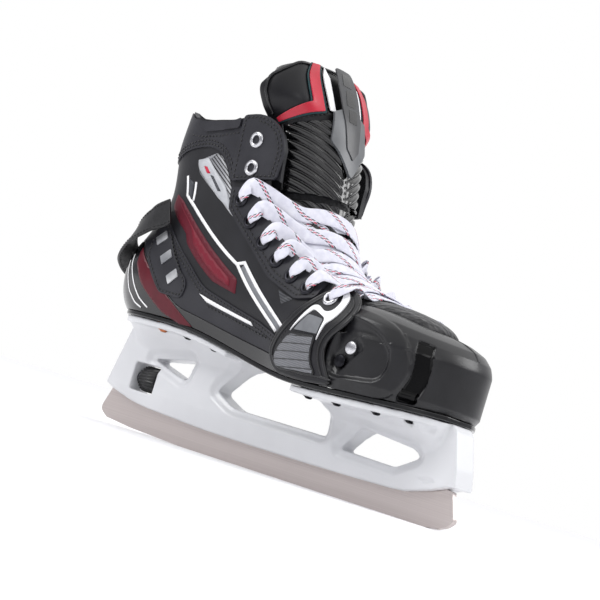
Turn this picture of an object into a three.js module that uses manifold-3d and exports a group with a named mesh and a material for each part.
// Ice hockey goalie skate, one boot, standing on its blade.
// Millimetres. +X runs to the toe, +Y to the skate's left, +Z up. The origin is the middle of the
// flat of the blade's ice edge, so z = 0 is the ice.
import * as THREE from "three";
import { mergeVertices } from "three/addons/utils/BufferGeometryUtils.js";
import Module from "manifold-3d";

const wasm = await Module();
wasm.setup();

// ---------------------------------------------------------------- driving dimensions
const GAP = 0.3; // clearance left between pieces that touch
const FAR = 400; // larger than the skate, for cutting tools

const HEEL_SOLE_Z = 71; // underside of the outsole at the heel
const BALL_SOLE_Z = 55.5; // and under the ball of the foot
const TOE_SPRING = 4.5; // rise of the sole at the toe
const SOLE_THICK = 3;
const SHELL_THICK = 3;
const LINER_THICK = 4;

const QUARTER_FRONT_X = 84; // the quarter's loft runs to here before the toe seam trims it
const TOE_FRONT_X = 129.5;
const TOE_START_X = 76; // where the plan outline starts to round in to the toe
const TOE_HALF_WIDTH = 49.8;

const BLADE_THICK = 4;
const SLOT_SIDE_GAP = 0.3;
const BRIDGE_HALF = 9; // half thickness of the holder's web

const LOCK_X = -116; // middle of the lock wheel, along the blade
const LOCK_Z = 34.8;
const LOCK_WHEEL_R = 8.4;
const LOCK_WHEEL_LONG = 15;
const LOCK_BOLT_R = 3.4;

const EYELET_R = 5.2;
const EYELET_HOLE_R = 2.6;
const RIVET_SHANK_R = 2.4;

// ---------------------------------------------------------------- small maths
const clamp = (t, low, high) => Math.min(high, Math.max(low, t));
const mix = (a, b, t) => a + (b - a) * t;
const ease = (t) => {
  const c = clamp(t, 0, 1);
  return c * c * (3 - 2 * c);
};

// A smooth curve through [key, value] pairs, read at any key.
function through(pairs, key) {
  const last = pairs.length - 1;
  const k = clamp(key, pairs[0][0], pairs[last][0]);
  let i = 0;
  while (i < last - 1 && k > pairs[i + 1][0]) i += 1;
  const [k0, v0] = pairs[i];
  const [k1, v1] = pairs[i + 1];
  const before = pairs[Math.max(0, i - 1)];
  const after = pairs[Math.min(last, i + 2)];
  const span = k1 - k0;
  const slope0 = (span * (v1 - before[1])) / (k1 - before[0]);
  const slope1 = (span * (after[1] - v0)) / (after[0] - k0);
  const t = (k - k0) / span;
  const t2 = t * t;
  const t3 = t2 * t;
  return (2 * t3 - 3 * t2 + 1) * v0 + (t3 - 2 * t2 + t) * slope0
    + (3 * t2 - 2 * t3) * v1 + (t3 - t2) * slope1;
}

// ---------------------------------------------------------------- solids
function solidFrom(geometry) {
  const bare = geometry.index ? geometry.toNonIndexed() : geometry.clone();
  bare.deleteAttribute("normal");
  bare.deleteAttribute("uv");
  const merged = mergeVertices(bare, 1e-4);
  return new wasm.Manifold(new wasm.Mesh({
    numProp: 3,
    vertProperties: merged.attributes.position.array,
    triVerts: new Uint32Array(merged.index.array),
  }));
}

function geometryFrom(solid) {
  const mesh = solid.getMesh();
  const positions = new Float32Array(mesh.numVert * 3);
  for (let i = 0; i < mesh.numVert; i += 1) {
    positions.set(mesh.vertProperties.subarray(i * mesh.numProp, i * mesh.numProp + 3), i * 3);
  }
  const geometry = new THREE.BufferGeometry();
  geometry.setAttribute("position", new THREE.BufferAttribute(positions, 3));
  geometry.setIndex(new THREE.BufferAttribute(mesh.triVerts, 1));
  geometry.computeVertexNormals();
  return geometry;
}

// A closed solid through rings of [x, y, z] points, all with the same count and turning the same way.
// A ring goes out along one side of a section and comes back along the other, so its ends are
// closed by a strip between the two sides. The second half of each ring is split along the other
// diagonal, so a mirrored ring stays mirrored.
function loft(rings) {
  const count = rings[0].length;
  const points = rings.flat();
  const faces = [];
  for (let i = 0; i < count; i += 1) {
    const j = (i + 1) % count;
    for (let r = 0; r < rings.length - 1; r += 1) {
      const a = r * count;
      const b = a + count;
      if (i < count / 2) faces.push(a + i, a + j, b + j, a + i, b + j, b + i);
      else faces.push(a + i, a + j, b + i, a + j, b + j, b + i);
    }
  }
  const top = (rings.length - 1) * count;
  const odd = count % 2;
  if (odd) faces.push(0, count - 1, 1, top, top + 1, top + count - 1);
  for (let i = odd; i < Math.floor(count / 2) - 1 + odd; i += 1) {
    const [p, q, r, s] = [i, i + 1, count - 2 - i + odd, count - 1 - i + odd];
    faces.push(p, r, q, p, s, r, top + p, top + q, top + r, top + p, top + r, top + s);
  }
  const geometry = new THREE.BufferGeometry();
  geometry.setAttribute("position", new THREE.Float32BufferAttribute(points.flat(), 3));
  geometry.setIndex(faces);
  const solid = solidFrom(geometry);
  if (solid.volume() > 0) return solid;
  for (let i = 0; i < faces.length; i += 3) [faces[i + 1], faces[i + 2]] = [faces[i + 2], faces[i + 1]];
  geometry.setIndex(faces);
  return solidFrom(geometry);
}

// An outline of [x, z] points pushed across the skate from yFrom to yTo.
function across(outline, yFrom = -FAR, yTo = FAR) {
  const shape = new THREE.Shape(outline.map(([x, z]) => new THREE.Vector2(x, z)));
  const geometry = new THREE.ExtrudeGeometry(shape, { depth: yTo - yFrom, bevelEnabled: false });
  geometry.rotateX(Math.PI / 2);
  geometry.translate(0, yTo, 0);
  return solidFrom(geometry);
}

// A plan outline of [x, y] points pushed up from zFrom to zTo.
function upward(outline, zFrom, zTo) {
  const shape = new THREE.Shape(outline.map(([x, y]) => new THREE.Vector2(x, y)));
  const geometry = new THREE.ExtrudeGeometry(shape, { depth: zTo - zFrom, bevelEnabled: false });
  geometry.translate(0, 0, zFrom);
  return solidFrom(geometry);
}

// A front-view outline of [y, z] points pushed along the skate from xFrom to xTo.
function lengthwise(outline, xFrom, xTo) {
  const shape = new THREE.Shape(outline.map(([y, z]) => new THREE.Vector2(y, z)));
  const geometry = new THREE.ExtrudeGeometry(shape, { depth: xTo - xFrom, bevelEnabled: false });
  geometry.applyMatrix4(new THREE.Matrix4().set(0, 0, 1, xFrom, 1, 0, 0, 0, 0, 1, 0, 0, 0, 0, 0, 1));
  return solidFrom(geometry);
}

// A lathe profile of [radius, height] points, standing at a point and facing along a direction.
function turned(profile, at, facing, sides = 14) {
  const geometry = new THREE.LatheGeometry(profile.map(([r, h]) => new THREE.Vector2(r, h)), sides);
  const turn = new THREE.Quaternion().setFromUnitVectors(
    new THREE.Vector3(0, 1, 0), new THREE.Vector3(...facing).normalize());
  geometry.applyQuaternion(turn);
  geometry.translate(...at);
  const solid = solidFrom(geometry);
  if (solid.volume() > 0) return solid;
  const index = geometry.index.array;
  for (let i = 0; i < index.length; i += 3) [index[i + 1], index[i + 2]] = [index[i + 2], index[i + 1]];
  return solidFrom(geometry);
}

const bar = (radius, from, to, sides = 14) => {
  const a = new THREE.Vector3(...from);
  const along = new THREE.Vector3(...to).sub(a);
  return turned([[0, 0], [radius, 0], [radius, along.length()], [0, along.length()]],
    from, along.toArray(), sides);
};

// A polygon with its sharp corners cut round. Points are [x, y] or [x, y, radius].
function rounded(points, steps = 3) {
  const out = [];
  points.forEach((point, i) => {
    const radius = point[2] || 0;
    if (!radius) {
      out.push([point[0], point[1]]);
      return;
    }
    const here = new THREE.Vector2(point[0], point[1]);
    const back = points[(i + points.length - 1) % points.length];
    const next = points[(i + 1) % points.length];
    const toBack = new THREE.Vector2(back[0], back[1]).sub(here).normalize();
    const toNext = new THREE.Vector2(next[0], next[1]).sub(here).normalize();
    const from = here.clone().addScaledVector(toBack, radius);
    const to = here.clone().addScaledVector(toNext, radius);
    for (let k = 0; k <= steps; k += 1) {
      const t = k / steps;
      out.push([
        (1 - t) ** 2 * from.x + 2 * t * (1 - t) * here.x + t * t * to.x,
        (1 - t) ** 2 * from.y + 2 * t * (1 - t) * here.y + t * t * to.y,
      ]);
    }
  });
  return out;
}

const mirrored = (solid) => solid.mirror([0, 1, 0]);

// ---------------------------------------------------------------- the last: the boot's outer lines
// Height of the sole's underside along the skate.
const soleZ = (x) => HEEL_SOLE_Z - (HEEL_SOLE_Z - BALL_SOLE_Z) * ease((x + 88) / 126)
  + TOE_SPRING * clamp((x - 45) / 85, 0, 1) ** 2;

// How far back the boot reaches at each height: the heel bulges, the tendon dips in.
const BACK_LINE = [
  [50, -132], [70, -139], [80, -147], [90, -150.5], [106, -150.5], [131, -138],
  [151, -132], [179, -135], [199, -133], [216, -130],
];

// Half-widths at stations along the skate (columns) and heights (rows), without the heel's rounding.
const STATIONS = [-115, -80, -40, 0, 40, 84];
const HALF_WIDTHS = [
  [50, [30, 31, 31, 35, 45, 50]],
  [62, [31, 32, 32, 36, 46, 50.5]],
  [78, [35, 36, 36, 40, 49, 51]],
  [95, [37.5, 39, 41, 44, 49, 50]],
  [112, [37, 39, 42, 43, 43, 42]],
  [130, [35, 38, 43, 40, 35, 32]],
  [150, [34, 39, 43, 36, 30, 27]],
  [178, [36, 42, 43, 37, 31, 27]],
  [216, [39, 45, 45, 40, 33, 28]],
];
const HEEL_ROUND = 42; // length over which the plan rounds in to the heel
const HEEL_POWER = 2.3;

const backX = (z) => through(BACK_LINE, z);

function halfWidth(x, z) {
  const rows = HALF_WIDTHS.map(([level, widths]) => [
    level, through(STATIONS.map((station, i) => [station, widths[i]]), x),
  ]);
  const start = backX(z) + HEEL_ROUND;
  const t = clamp((start - x) / HEEL_ROUND, 0, 1);
  return through(rows, z) * (1 - t ** HEEL_POWER) ** (1 / HEEL_POWER);
}

// The boot's outline at one height, grown outwards by grow, closed straight across the front.
function bootRing(z, grow, steps = 11) {
  const back = backX(z) - grow;
  const side = [];
  for (let i = 0; i <= steps; i += 1) {
    const x = back + (QUARTER_FRONT_X - back) * (1 - Math.cos((Math.PI / 2) * (i / steps)));
    const within = clamp((x - back) / (HEEL_ROUND + grow), 0, 1);
    const inner = Math.max(backX(z) + HEEL_ROUND * within, Math.min(x, QUARTER_FRONT_X));
    const t = 1 - within;
    const round = (1 - t ** HEEL_POWER) ** (1 / HEEL_POWER);
    const full = halfWidth(Math.max(inner, backX(z) + HEEL_ROUND), z) + grow;
    side.push([x, i ? -full * round : 0, z]);
  }
  const other = side.slice(1).reverse().map(([x, y]) => [x, -y, z]);
  return [...side, ...other];
}

const BOOT_LEVELS = [50, 62, 72, 83, 95, 107, 119, 132, 147, 163, 181, 200, 214];
const bootLofts = new Map();
function bootLoft(grow) {
  if (!bootLofts.has(grow)) bootLofts.set(grow, loft(BOOT_LEVELS.map((z) => bootRing(z, grow))));
  return bootLofts.get(grow);
}

// A point on the boot's right side, and the way it faces.
function sidePoint(x, z, out = 0) {
  const step = 1.5;
  const alongX = new THREE.Vector3(2 * step, halfWidth(x - step, z) - halfWidth(x + step, z), 0);
  const alongZ = new THREE.Vector3(0, halfWidth(x, z - step) - halfWidth(x, z + step), 2 * step);
  const normal = new THREE.Vector3().crossVectors(alongX, alongZ).normalize();
  if (normal.y > 0) normal.negate();
  const at = new THREE.Vector3(x, -halfWidth(x, z), z).addScaledVector(normal, out);
  return { at: at.toArray(), normal: normal.toArray() };
}

// ---------------------------------------------------------------- side outlines
// The sole's line, as a run of [x, z] points lifted by rise.
const soleLine = (from, to, rise, steps = 24) => Array.from({ length: steps + 1 }, (_, i) => {
  const x = mix(from, to, i / steps);
  return [x, soleZ(x) + rise];
});

const THROAT = [
  [-25, 172], [-38, 169], [-34, 161], [-26, 151], [-12, 140], [3, 131.5], [19, 124], [35, 118.5],
  [56, 116],
];
const CUFF_FRONT = [[-62, 205.5], [-50, 208], [-38, 205.5], [-29, 199], [-25, 190]];
const COLLAR = [[-160, 206], [-131, 207], [-120, 207], [-112, 202], [-97, 200.5], [-70, 203]];
const TOE_SEAM = [[64, 112], [67, 103], [65, 96], [60, 89], [57, 80], [59, 72], [66, 62]];
const SEAM_FOOT_X = 69; // where the seam between quarter and toe cap meets the sole

const shellOutline = [
  ...soleLine(-160, SEAM_FOOT_X - 2 * GAP, SOLE_THICK + GAP),
  ...[...TOE_SEAM].reverse().map(([x, z]) => [x - GAP, z]),
  ...[...THROAT].reverse(),
  ...[...CUFF_FRONT].reverse(),
  ...[...COLLAR].reverse(),
];

// ---------------------------------------------------------------- the scene
const skate = new THREE.Group();

const FINISHES = {
  shell: [0x1d1d20, 0.45, 0],
  cap: [0x232326, 0.5, 0],
  leather: [0x2b2b2f, 0.55, 0],
  lining: [0x141416, 0.9, 0],
  felt: [0x1a1a1c, 0.95, 0],
  rib: [0x111113, 0.35, 0],
  red: [0xc4203a, 0.4, 0],
  shield: [0x55575a, 0.4, 0],
  mesh: [0x5b5c60, 0.7, 0],
  holder: [0xf0f0f2, 0.35, 0],
  steel: [0xb9b0ae, 0.3, 1],
  metal: [0xb8b8bc, 0.3, 1],
  dark_metal: [0x1a1a1c, 0.4, 1],
  copper: [0xb06a45, 0.35, 1],
  lace: [0xe8e8f2, 0.85, 0],
  knob: [0x16161a, 0.5, 0],
};

function add(name, solid, finish) {
  const [color, roughness, metalness] = FINISHES[finish];
  const material = new THREE.MeshStandardMaterial({ color, roughness, metalness });
  const mesh = new THREE.Mesh(geometryFrom(solid), material);
  mesh.name = name;
  skate.add(mesh);
}

function addPair(name, rightSolid, finish) {
  add(`${name}_right`, rightSolid, finish);
  add(`${name}_left`, mirrored(rightSolid), finish);
}

// ---------------------------------------------------------------- eyelets
// Side-view places of the eyelets, from the top of the cuff down to the toe wing.
const CUFF_EYELETS = [[-46.5, 192.5], [-44.5, 175]];
const FACING_EYELETS = [[-45, 155], [-33, 143], [-18.5, 132], [-4, 123.5], [12, 116], [28, 111]];
const WING_EYELET = [49, 107.5];
const EYELET_LAYER = 2.2; // how far the panel's face stands off the shell, where an eyelet sits

const eyelets = [...CUFF_EYELETS, ...FACING_EYELETS, WING_EYELET];

// Punches every eyelet's hole through a right-hand layer of the boot.
function punched(solid) {
  return eyelets.reduce((left, [x, z]) => {
    const { at, normal } = sidePoint(x, z);
    const from = at.map((v, i) => v - normal[i] * 14);
    const to = at.map((v, i) => v + normal[i] * 14);
    return left.subtract(bar(EYELET_HOLE_R + 1.3, from, to, 8));
  }, solid);
}

function addEyelets() {
  const profile = [
    [EYELET_HOLE_R, -4], [EYELET_HOLE_R + 0.8, -4], [EYELET_HOLE_R + 0.8, GAP],
    [EYELET_R, GAP], [EYELET_R - 0.7, 1.3], [EYELET_HOLE_R + 0.7, 1.3], [EYELET_HOLE_R, -4],
  ];
  eyelets.forEach(([x, z], i) => {
    const { at, normal } = sidePoint(x, z, EYELET_LAYER);
    const ring = turned(profile, at, normal, 9);
    addPair(`eyelet_${i + 1}`, ring, i < 2 || i === eyelets.length - 1 ? "metal" : "dark_metal");
  });
}

// ---------------------------------------------------------------- boot
const rightHalf = (solid) => solid.intersect(across([[-FAR, -FAR], [FAR, -FAR], [FAR, FAR], [-FAR, FAR]], -FAR, -GAP));

function shell() {
  const wall = bootLoft(0).subtract(bootLoft(-SHELL_THICK)).intersect(across(shellOutline));
  return mirrored(punched(mirrored(punched(wall))));
}

// A panel laid on the right side of the boot: the side outline, from GAP off the shell to thick.
function panel(outline, thick, from = GAP) {
  const skin = bootLoft(thick).subtract(bootLoft(from));
  return punched(rightHalf(skin.intersect(across(outline))));
}

// The boot's outline in plan, set in all round, between two places along the skate.
const footprint = (inset, from, to, steps = 14) => {
  const side = [];
  for (let i = 0; i <= steps; i += 1) {
    const x = mix(from, to, 0.5 - 0.5 * Math.cos(Math.PI * (i / steps)));
    side.push([x, -Math.max(0.5, planHalf(x) - inset)]);
  }
  return [...side, ...side.map(([x, y]) => [x, -y]).reverse()];
};

// The boot's half-width in plan, just above the sole, all the way to the toe.
function planHalf(x) {
  if (x < TOE_START_X) return halfWidth(x, soleZ(x) + 6);
  const t = clamp((x - TOE_START_X) / (TOE_FRONT_X - TOE_START_X), 0, 1);
  return TOE_HALF_WIDTH * Math.sqrt(1 - t * t);
}

// The band of the skate between two heights above the sole's underside.
const soleBand = (low, high) => across([
  ...soleLine(-160, 150, low, 22),
  ...soleLine(-160, 150, high, 22).reverse(),
]);

const RIVETS = [[-98, 23], [-74, 24], [-51, 22], [41, 31], [68, 37], [95, 34], [110, 22]];
const RIVET_HEAD_R = 4;
const TOE_RIVET = [74, 83]; // side-view place of the rivet that ties the wing to the toe cap
const rivetHoles = (solid, radius) => RIVETS.reduce((left, [x, y]) => left
  .subtract(bar(radius, [x, -y, 40], [x, -y, 90], 8))
  .subtract(bar(radius, [x, y, 40], [x, y, 90], 8)), solid);

function outsole() {
  const plate = upward(footprint(2, -138, TOE_FRONT_X - 2), 40, 90).intersect(soleBand(0, SOLE_THICK));
  return rivetHoles(plate, RIVET_SHANK_R + 0.5);
}

const FOOTBED_TOP = 11; // above the sole's underside
function footbed() {
  return upward(footprint(SHELL_THICK + 1.5, -134, 118), 40, 100)
    .intersect(soleBand(FOOTBED_TOP - 4, FOOTBED_TOP))
    .intersect(bootLoft(-SHELL_THICK - GAP).add(toeLoft(SHELL_THICK + GAP)));
}

function ankleLiner() {
  const band = bootLoft(-SHELL_THICK - GAP).subtract(bootLoft(-SHELL_THICK - GAP - LINER_THICK));
  const outline = [
    ...soleLine(-160, -20, FOOTBED_TOP + 2, 8), [-24, 120], [-33, 150], [-34, 186], [-42, 199],
    [-70, 200], [-97, 198.5], [-112, 200], [-120, 205], [-160, 205],
  ];
  return mirrored(punched(mirrored(punched(band.intersect(across(outline))))));
}

// ---------------------------------------------------------------- toe cap
// Rings of the cap: how far each is set in from the plan outline, and its height at the front.
const TOE_RINGS = [[1.5, 50], [1.5, 60], [0, 66], [0, 91], [2, 97], [6, 101.5], [14, 104.5], [30, 106]];
const TOE_RISE = 6; // how much higher the cap's top is at its rear edge

function toeLoft(inset) {
  const steps = 16;
  const rings = TOE_RINGS.map(([setIn, height], level) => {
    const front = TOE_FRONT_X - setIn - inset;
    const rise = level > 3 ? TOE_RISE : 0;
    const side = [];
    for (let i = 0; i <= steps; i += 1) {
      const s = i / steps;
      const x = mix(50, front, Math.sin((Math.PI / 2) * s));
      const shrink = (TOE_FRONT_X - TOE_START_X) / (front - TOE_START_X);
      const plan = x < TOE_START_X ? x : TOE_START_X + (x - TOE_START_X) * shrink;
      const y = Math.max(0.5, planHalf(plan) - setIn - inset);
      const drop = level > 3 ? inset : 0;
      side.push([x, -y, height + rise * ease((TOE_FRONT_X - x) / 70) - drop]);
    }
    return [...side, ...side.map(([x, y, z]) => [x, -y, z]).reverse()];
  });
  return loft(rings);
}

function toeCap() {
  const outline = [
    ...TOE_SEAM.map(([x, z]) => [x + GAP, z]),
    ...soleLine(SEAM_FOOT_X + GAP, 150, SOLE_THICK + GAP, 10),
    [150, 130], [64.3, 130],
  ];
  return toeLoft(0).subtract(toeLoft(SHELL_THICK)).intersect(across(outline));
}

// ---------------------------------------------------------------- tongue
// Stations up the tongue: middle of its front face [x, z], half-width, how far its edges sweep
// back, and its thickness.
const LOWER_TONGUE = [
  [[70, 101], 25, 8, 5], [[54, 111], 27, 10, 6], [[40, 117], 28, 12, 7], [[28, 122.5], 29, 14, 8],
  [[17, 129], 30, 17, 9], [[8, 137], 31, 21, 9], [[2, 148], 32, 25, 9], [[-4, 160], 32, 28, 9],
  [[-6, 166], 32, 29, 9],
];
const UPPER_TONGUE = [
  [[-7, 171.5], 32, 29, 9], [[-13, 187], 33, 29, 9], [[-20, 203], 34, 28, 10],
  [[-26, 217], 35, 28, 14], [[-33, 231], 44, 27, 16], [[-42, 246], 46, 24, 14], [[-50, 255], 38, 14, 8],
];
const WRAP = 0.88 * (Math.PI / 2);

function tongueFrame(stations, index) {
  const before = stations[Math.max(0, index - 1)][0];
  const after = stations[Math.min(stations.length - 1, index + 1)][0];
  const up = new THREE.Vector2(after[0] - before[0], after[1] - before[1]).normalize();
  return { back: new THREE.Vector2(-up.y, up.x) };
}

function tonguePoint(stations, index, side, depth) {
  const [[x, z], half, sweep] = stations[index];
  const { back } = tongueFrame(stations, index);
  const angle = side * WRAP;
  const inward = sweep * ((1 - Math.cos(angle)) / (1 - Math.cos(WRAP))) + depth;
  const y = (half * Math.sin(angle)) / Math.sin(WRAP);
  return [x + back.x * inward, y * (1 - (depth * Math.abs(side)) / 90), z + back.y * inward];
}

function tongueSlab(stations, steps = 10, lift = 0, thick = null, reach = 1) {
  return loft(stations.map((station, index) => {
    const front = [];
    const rear = [];
    for (let i = 0; i <= steps; i += 1) {
      const side = mix(-reach, reach, i / steps);
      const taper = 1 - 0.65 * Math.abs(side) ** 4;
      const deep = thick === null ? station[3] * taper : thick;
      front.push(tonguePoint(stations, index, side, -lift));
      rear.push(tonguePoint(stations, index, side, deep - lift));
    }
    return [...front, ...rear.reverse()];
  }));
}

// A narrow trim strip that runs over the tongue's front through [station, side] places.
function tongueStrip(path, width, lift, thick) {
  const at = ([station, side], depth) => {
    const low = Math.floor(Math.min(station, UPPER_TONGUE.length - 1.001));
    const a = tonguePoint(UPPER_TONGUE, low, side, depth);
    const b = tonguePoint(UPPER_TONGUE, low + 1, side, depth);
    return a.map((v, i) => mix(v, b[i], station - low));
  };
  return loft(path.map(([station, side], i) => {
    const before = path[Math.max(0, i - 1)];
    const after = path[Math.min(path.length - 1, i + 1)];
    const run = [(after[0] - before[0]) * 16, (after[1] - before[1]) * 36];
    const long = Math.hypot(...run);
    const across2 = [(-run[1] / long) * (width / 32), (run[0] / long) * (width / 72)];
    const left = [station + across2[0], side + across2[1]];
    const right = [station - across2[0], side - across2[1]];
    return [at(left, -lift), at(right, -lift), at(right, -lift - thick), at(left, -lift - thick)];
  }));
}

function addTongue() {
  add("tongue_lower", tongueSlab(LOWER_TONGUE), "felt");
  add("tongue_upper", tongueSlab(UPPER_TONGUE), "leather");
  add("tongue_rib_panel", tongueSlab(UPPER_TONGUE.slice(0, 4), 10, 2.4, 2, 0.8), "rib");
  add("tongue_shield", tongueSlab(UPPER_TONGUE.slice(1, 6), 4, 4.8, 2, 0.2), "shield");
  const trim = [[5.2, -0.42], [4.7, -0.42], [4.2, -0.42], [3.8, -0.5], [3.65, -0.62], [3.55, -0.75]];
  addPair("tongue_trim", tongueStrip(trim, 6, 1.6, 1.6), "red");
}

// ---------------------------------------------------------------- back strap
function backStrap() {
  const half = 11;
  const path = new THREE.CatmullRomCurve3([
    [-104, -42, 141], [-122, -41, 138], [-142, -36, 132], [-158, -22, 126], [-164, 0, 124],
    [-158, 22, 126], [-142, 36, 132], [-122, 41, 138], [-104, 42, 141],
  ].map((p) => new THREE.Vector3(...p)));
  const steps = 22;
  const rings = Array.from({ length: steps + 1 }, (_, i) => {
    const at = path.getPoint(i / steps);
    const tangent = path.getTangent(i / steps);
    const out = new THREE.Vector3(tangent.y, -tangent.x, 0).normalize().multiplyScalar(-1.1);
    const corner = (k, h) => [at.x + out.x * k, at.y + out.y * k, at.z + h];
    return [corner(1, -half), corner(1, half), corner(-1, half), corner(-1, -half)];
  });
  return loft(rings).subtract(bootLoft(1.6));
}

// ---------------------------------------------------------------- holder, runner and lock
const HOLDER_EDGE = [
  [-149, 25.7], [-143, 23], [-127, 19], [-116, 17.4], [-106, 16.6], [-60, 14.5], [-15, 13.9],
  [27, 13.8], [67, 14.3], [97, 14.9], [108, 15.8], [125, 20.3], [138, 25], [143.5, 25.5],
];
const MID_WINDOW = [
  [-54, 40, 4], [-36, 32.6, 5], [42, 32.4, 3], [40, 46, 4], [33, 51, 4], [14, 55], [10, 90], [-22, 90],
  [-33, 62],
];
const REAR_WINDOW = [[-116, 48.5, 3], [-77, 54.5, 3], [-82, 40, 3]];
const FRONT_WINDOW = [[54, 28, 3], [67, 43.5, 3], [108, 40, 3], [112.5, 36, 2], [97, 27, 3]];
const LOCK_WINDOW = [[-127.5, 43.8, 1], [-127, 25.6, 1], [-105.8, 25.6, 1], [-105.8, 43.8, 1]];

function holderWeb() {
  const outline = [
    ...HOLDER_EDGE, [141, 36], [134, 56], [128, 62], [30, 62], [-30, 72], [-138, 74],
  ];
  const section = [
    [-5.2, 10], [5.2, 10], [BRIDGE_HALF, 27], [BRIDGE_HALF, 90], [-BRIDGE_HALF, 90], [-BRIDGE_HALF, 27],
  ];
  return across(outline).intersect(lengthwise(section, -FAR, FAR));
}

// A tower flares from the web's thickness to the flange under the boot.
function towerFlare(levels, from, to, square) {
  return loft(levels.map(([z, half, pull]) => {
    const steps = 9;
    const side = [];
    for (let i = 0; i <= steps; i += 1) {
      const t = i / steps;
      const x = mix(from + pull, to - pull * 0.4, 0.5 - 0.5 * Math.cos(Math.PI * t));
      const limit = (1 - Math.abs(2 * t - 1) ** square) ** (1 / square);
      const y = Math.max(2, Math.min(half * limit, planHalf(clamp(x, -134, 128)) - 4));
      side.push([x, -y, z]);
    }
    return [...side, ...side.map(([x, y]) => [x, -y, z]).reverse()];
  }));
}

function holderFlange(from, to) {
  return upward(footprint(4, from, to, 14), 40, 90).intersect(soleBand(-4.2, -GAP));
}

function holder() {
  const rear = towerFlare([[42, 9, 8], [54, 10, 5], [62, 16, 2], [71, 27, 0]], -139, -28, 3);
  const front = towerFlare([[36, 9, 10], [44, 11, 6], [50, 19, 2], [58, 38, 0]], 34, 129, 3);
  let body = holderWeb().add(rear).add(front)
    .add(holderFlange(-136, -27)).add(holderFlange(33, 128));
  body = body.intersect(soleBand(-90, -GAP));
  for (const window of [MID_WINDOW, REAR_WINDOW, FRONT_WINDOW]) {
    body = body.subtract(across(rounded(window)));
  }
  body = body.subtract(across(rounded(LOCK_WINDOW)));
  const slot = BLADE_THICK / 2 + SLOT_SIDE_GAP;
  const channel = [[-FAR, 0], [FAR, 0], [FAR, 24.2], [-FAR, 24.2]];
  const rearPocket = [[-105.9, 20], [-88, 20], [-88, 41.5], [-105.9, 41.5]];
  const frontPocket = [[118, 20], [134, 20], [133, 42], [120, 42]];
  for (const pocket of [channel, rearPocket, frontPocket]) {
    body = body.subtract(across(pocket, -slot, slot));
  }
  body = body.subtract(bar(LOCK_BOLT_R + 0.4, [-136, 0, LOCK_Z], [-94, 0, LOCK_Z]));
  return rivetHoles(body, RIVET_SHANK_R + 0.5);
}

// The rear tab carries a hook whose underside lies on the lock bolt's wedge.
const WEDGE_SLOPE = 0.4;
const wedgeZ = (x) => 33.4 + WEDGE_SLOPE * (-95.5 - x);
const RUNNER_OUTLINE = [
  [-74, 0], [126, 0], [134, 0.8], [140, 3, 2], [144.5, 7, 2], [138, 23.2], [132.5, 23.8],
  [131.5, 38, 3], [121, 38, 3], [121, 23.6], [-89, 23.6], [-89, 37.5, 2], [-93, 39.5, 1],
  [-99.3, 39], [-99.3, wedgeZ(-99.3) + 0.35], [-94.3, wedgeZ(-94.3) + 0.35], [-94.3, 23.6],
  [-148, 23.6], [-154, 8, 4], [-146, 3.6], [-122, 1.6],
];

function runner() {
  return across(rounded(RUNNER_OUTLINE), -BLADE_THICK / 2, BLADE_THICK / 2)
    .intersect(bladeUnderHolder());
}

// Outside the slot the blade's top follows the holder's lower edge, a hair below it.
function bladeUnderHolder() {
  return across([
    [-FAR, -FAR], [FAR, -FAR], [FAR, 23.2], [138, 23.8], [134, 60], [-128, 60], [-140, 23.6],
    [-148, 23], [-FAR, 21],
  ]);
}

function lockWheel() {
  const half = LOCK_WHEEL_LONG / 2;
  const teeth = 24;
  const shape = new THREE.Shape();
  for (let i = 0; i < teeth * 2; i += 1) {
    const angle = (Math.PI * i) / teeth;
    const r = i % 2 ? LOCK_WHEEL_R - 0.5 : LOCK_WHEEL_R;
    if (i) shape.lineTo(r * Math.cos(angle), r * Math.sin(angle));
    else shape.moveTo(r, 0);
  }
  const bore = new THREE.Path();
  bore.absarc(0, 0, LOCK_BOLT_R + 0.25, 0, Math.PI * 2, true);
  shape.holes.push(bore);
  const geometry = new THREE.ExtrudeGeometry(shape, {
    depth: LOCK_WHEEL_LONG - 1.6, bevelEnabled: true, bevelThickness: 0.8, bevelSize: 0.8,
    bevelOffset: -0.8, bevelSegments: 1, curveSegments: 8,
  });
  geometry.rotateY(Math.PI / 2);
  geometry.translate(LOCK_X - half + 0.8, 0, LOCK_Z);
  return solidFrom(geometry);
}

function lockBolt() {
  const shank = bar(LOCK_BOLT_R, [-129, 0, LOCK_Z], [-95.5, 0, LOCK_Z]);
  const belowWedge = across([[-140, 0], [-90, 0], [-90, wedgeZ(-90)], [-140, wedgeZ(-140)]]);
  const flatNose = across([[-104.5, 0], [-FAR, 0], [-FAR, 60], [-104.5, 60]])
    .add(across([[-105, 0], [0, 0], [0, 60], [-105, 60]], -1.7, 1.7));
  return shank.intersect(belowWedge).intersect(flatNose);
}

// ---------------------------------------------------------------- lace
const LACE_WIDE = 8.5;
const LACE_THICK = 1.3;

const LACE_OVER_EYELET = 5.4; // middle of the lace, off the shell's face
const EDGE_RUN = 16; // from an eyelet to just past the facing's edge

// A point on the lower tongue between two stations.
function lowerTonguePoint(station, side, depth) {
  const low = Math.floor(Math.min(station, LOWER_TONGUE.length - 1.001));
  const a = tonguePoint(LOWER_TONGUE, low, side, depth);
  const b = tonguePoint(LOWER_TONGUE, low + 1, side, depth);
  return a.map((v, i) => mix(v, b[i], station - low));
}

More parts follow.
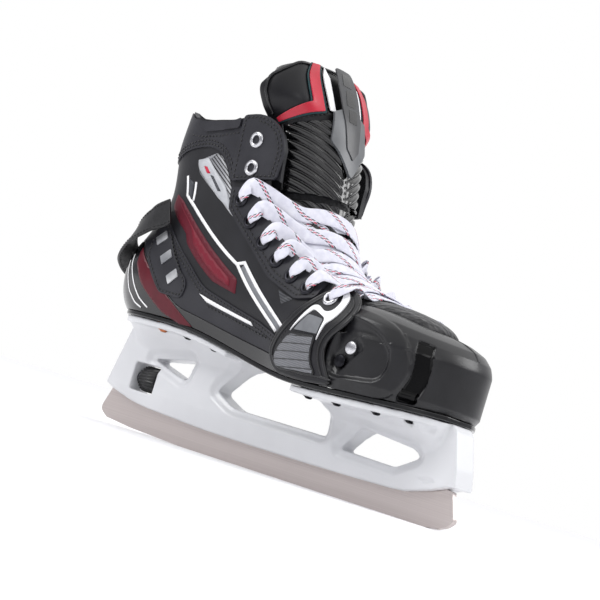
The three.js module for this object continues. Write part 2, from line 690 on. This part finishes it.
// A flat strand from an eyelet on the right, over the facing's edge and the tongue, to the left.
// Rows count up from the toe wing's eyelet, and row n lies over the lower tongue's station n + 1.
function strand(row, rightRow, leftRow, lift) {
  const ends = [rightRow, leftRow].map((n, k) => {
    const [x, z] = row[n];
    const eyelet = sidePoint(x, z, LACE_OVER_EYELET).at;
    const edge = sidePoint(x + 0.65 * EDGE_RUN, z + 0.76 * EDGE_RUN, LACE_OVER_EYELET).at;
    return [eyelet, edge].map((p) => new THREE.Vector3(p[0], k ? -p[1] : p[1], p[2]));
  });
  const middle = [-0.72, -0.36, 0, 0.36, 0.72].map((side) => {
    const station = mix(rightRow, leftRow, (side + 1) / 2) + 1;
    return new THREE.Vector3(...lowerTonguePoint(station, side, -lift - 4.5 * side ** 2));
  });
  const path = new THREE.CatmullRomCurve3([...ends[0], ...middle, ends[1][1], ends[1][0]]);
  const steps = 10;
  const rings = Array.from({ length: steps + 1 }, (_, i) => {
    const at = path.getPoint(i / steps);
    const tangent = path.getTangent(i / steps);
    const wide = new THREE.Vector3(0.72, 0, -0.69);
    wide.addScaledVector(tangent, -wide.dot(tangent)).normalize().multiplyScalar(LACE_WIDE / 2);
    const flat = new THREE.Vector3().crossVectors(tangent, wide).normalize()
      .multiplyScalar(LACE_THICK / 2);
    return [[1, 1], [-1, 1], [-1, -1], [1, -1]].map(([u, v]) => at.clone()
      .addScaledVector(wide, u).addScaledVector(flat, v).toArray());
  });
  return loft(rings);
}

function lace() {
  const row = [WING_EYELET, ...[...FACING_EYELETS].reverse()];
  let joined = strand(row, 0, 0, 2.4);
  for (let n = 0; n < row.length - 1; n += 1) {
    joined = joined.add(strand(row, n, n + 1, 2.4)).add(strand(row, n + 1, n, 4.2));
  }
  return joined;
}

// ---------------------------------------------------------------- panels on the boot
const cuffOutline = rounded([
  [-59, 165, 2], [-25, 171, 3], [-24, 190, 5], [-30, 203, 8], [-45, 209.5, 8], [-62, 206.5, 3],
]);
const facingOutline = [
  [-57, 161], [-36.5, 164], ...THROAT.slice(2, -1), [39, 117.5], [37, 106], [22, 103], [-6, 112],
  [-18, 121], [-34, 133], [-54, 148],
];
const wingOutline = rounded([
  [30, 60, 2], [18, 72, 4], [20, 82, 4], [34, 100, 4], [42, 112, 3], [53, 115.5, 4], [62.5, 111.5, 3],
  [66, 103, 3], [58, 90, 3], [55.5, 80, 4], [58, 71, 3], [66, 61.5],
]);
const heelPanelOutline = rounded([
  [-118, 128, 4], [-108, 134, 3], [-72, 97, 4], [-75, 88, 3], [-96, 88, 4], [-116, 108, 4],
]);

function toeRivet() {
  const [x, z] = TOE_RIVET;
  const profile = [[0, 0], [3.4, 0], [3.2, 1.2], [2, 2], [0, 2.3]];
  return turned(profile, [x, -planHalf(x) - 2 * GAP, z], [0, -1, 0], 12);
}

function rivet(x, y) {
  const top = Math.max(soleZ(x - RIVET_HEAD_R), soleZ(x + RIVET_HEAD_R)) + SOLE_THICK + GAP;
  const low = soleZ(x) - 6.5;
  const profile = [
    [0, low], [RIVET_SHANK_R, low], [RIVET_SHANK_R, top], [RIVET_HEAD_R, top],
    [RIVET_HEAD_R - 0.6, top + 1.2], [0, top + 1.6],
  ];
  return turned(profile, [x, -y, 0], [0, 0, 1], 8);
}

add("boot_shell", shell(), "shell");
add("outsole", outsole(), "shell");
add("footbed", footbed(), "lining");
add("ankle_liner", ankleLiner(), "lining");
add("toe_cap", toeCap(), "cap");
addPair("cuff_panel", panel(cuffOutline, EYELET_LAYER), "leather");
addPair("facing", panel(facingOutline, EYELET_LAYER - GAP), "leather");
addPair("toe_wing", panel(wingOutline, EYELET_LAYER), "mesh");
addPair("heel_panel", panel(heelPanelOutline, 1.5), "leather");
addTongue();
add("back_strap", backStrap(), "leather");
add("holder", holder(), "holder");
add("runner", runner(), "steel");
add("lock_wheel", lockWheel(), "knob");
add("lock_bolt", lockBolt(), "metal");
add("lace", lace(), "lace");
addEyelets();
addPair("toe_rivet", toeRivet(), "metal");
RIVETS.forEach(([x, y], i) => addPair(`rivet_${i + 1}`, rivet(x, y), i ? "dark_metal" : "copper"));

export default skate;
